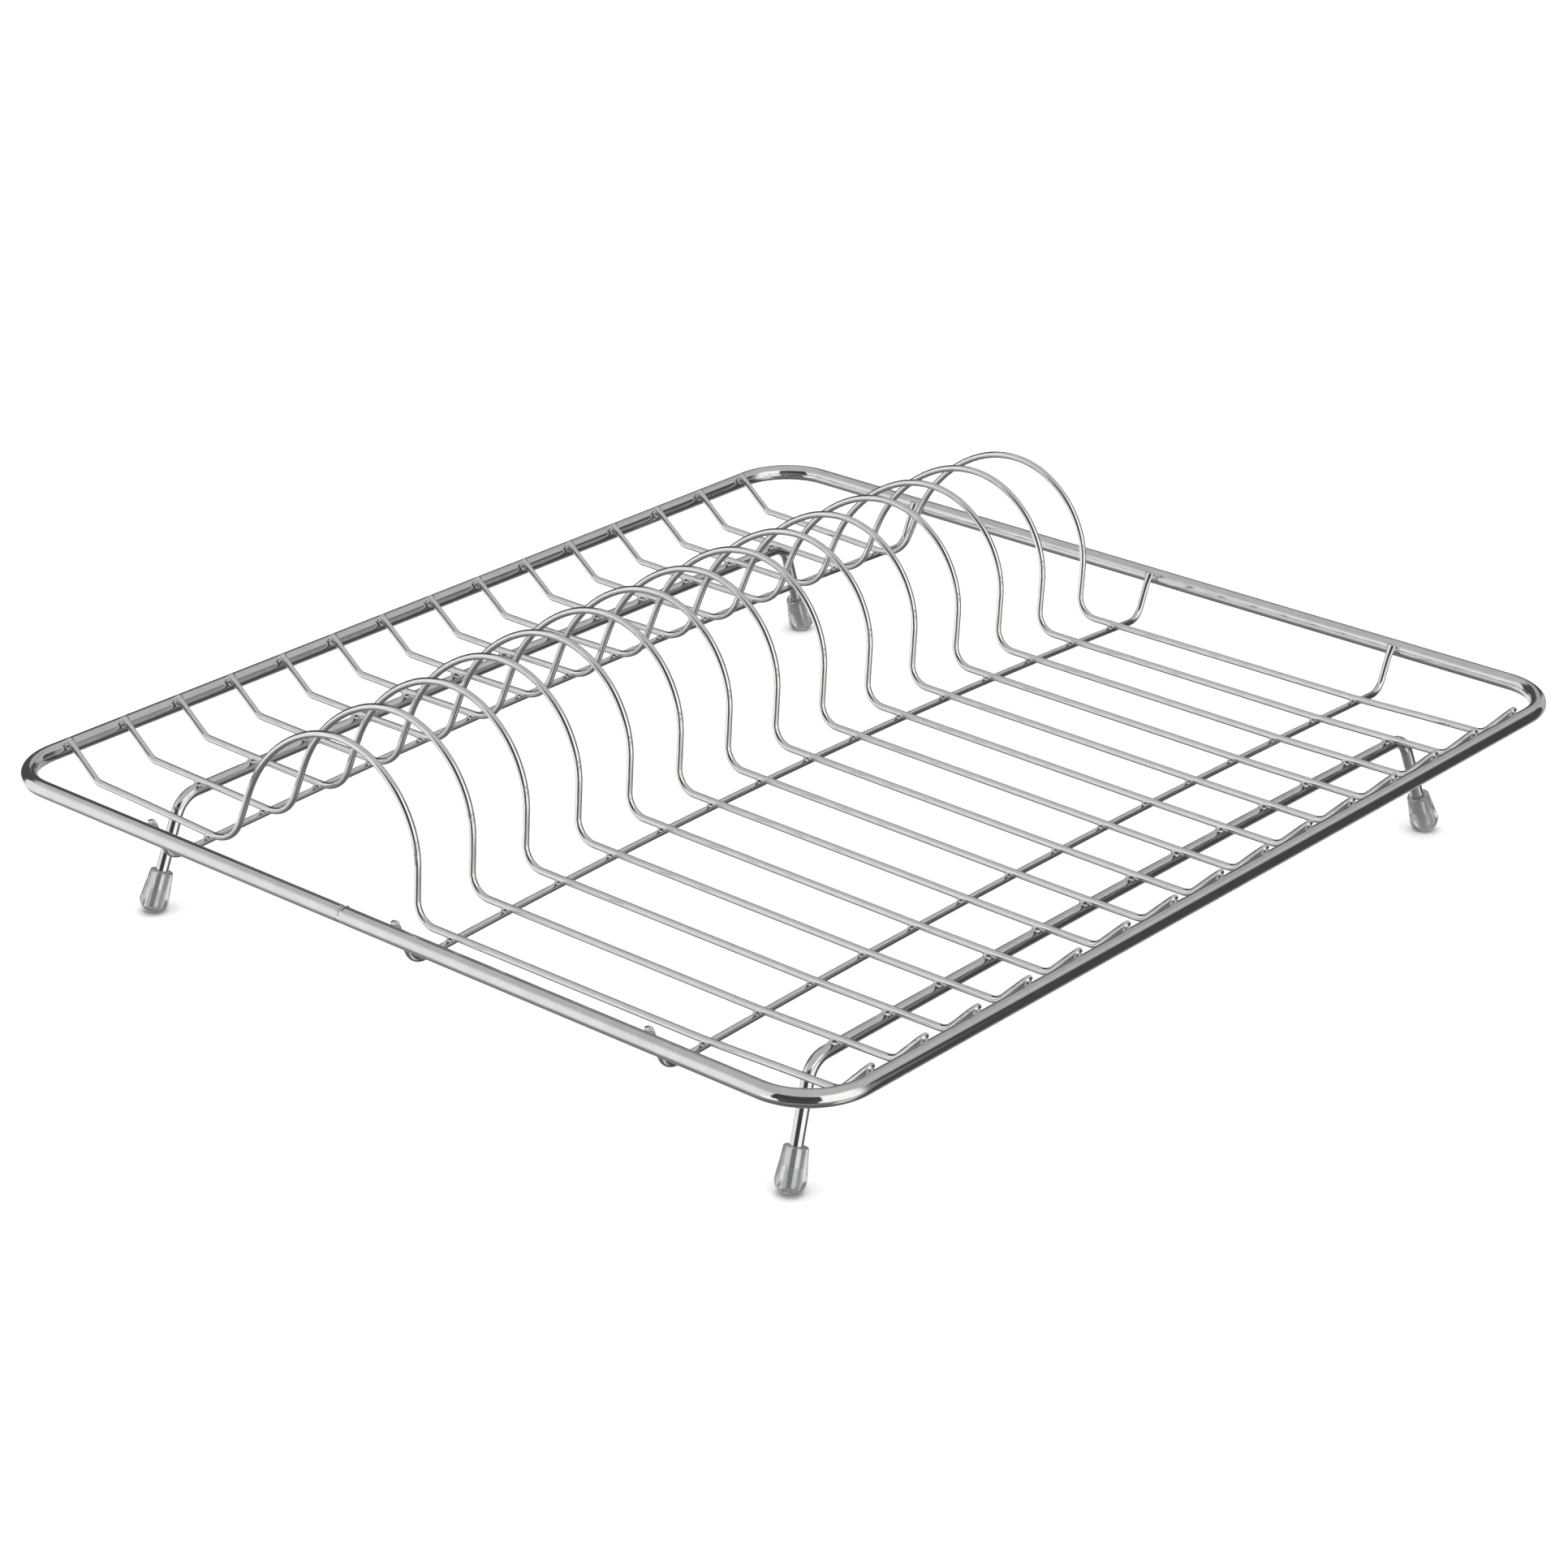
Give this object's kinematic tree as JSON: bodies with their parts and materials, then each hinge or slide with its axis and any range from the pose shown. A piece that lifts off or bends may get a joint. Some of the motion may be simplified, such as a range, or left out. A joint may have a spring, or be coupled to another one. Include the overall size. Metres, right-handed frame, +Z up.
{
  "type": "dish drying rack",
  "caption": "Low welded wire dish drying rack with a rounded rim, a row of plate hoops, an open tray and four clear foot caps.",
  "frame": {"origin": "centre of the rack's footprint, on the surface that it stands on", "axes": "+X along the long side of the rim, +Y towards the rear, where the hoops are nearer the rim, +Z up"},
  "size_m": [0.416, 0.3812, 0.1047],
  "materials": {
    "rim_chrome": "bright chrome plating on heavy wire, with faint draw lines",
    "wire_chrome": "bright chrome plating on thin wire",
    "leg_chrome": "bright chrome plating on medium wire",
    "clear_plastic": "clear soft plastic, slightly cloudy, gloss"
  },
  "bodies": {
    "root": {"rim": "rim_chrome", "plate_wire_01": "wire_chrome", "plate_wire_02": "wire_chrome", "plate_wire_03": "wire_chrome", "plate_wire_04": "wire_chrome", "plate_wire_05": "wire_chrome", "plate_wire_06": "wire_chrome", "plate_wire_07": "wire_chrome", "plate_wire_08": "wire_chrome", "plate_wire_09": "wire_chrome", "plate_wire_10": "wire_chrome", "plate_wire_11": "wire_chrome", "plate_wire_12": "wire_chrome", "plate_wire_13": "wire_chrome", "plate_wire_14": "wire_chrome", "plate_wire_15": "wire_chrome", "cross_wire_rear": "wire_chrome", "cross_wire_middle": "wire_chrome", "cross_wire_front": "wire_chrome", "leg_frame_rear": "leg_chrome", "leg_frame_front": "leg_chrome", "foot_cap_front_left": "clear_plastic", "foot_cap_front_right": "clear_plastic", "foot_cap_rear_left": "clear_plastic", "foot_cap_rear_right": "clear_plastic"}
  },
  "joints": []
}
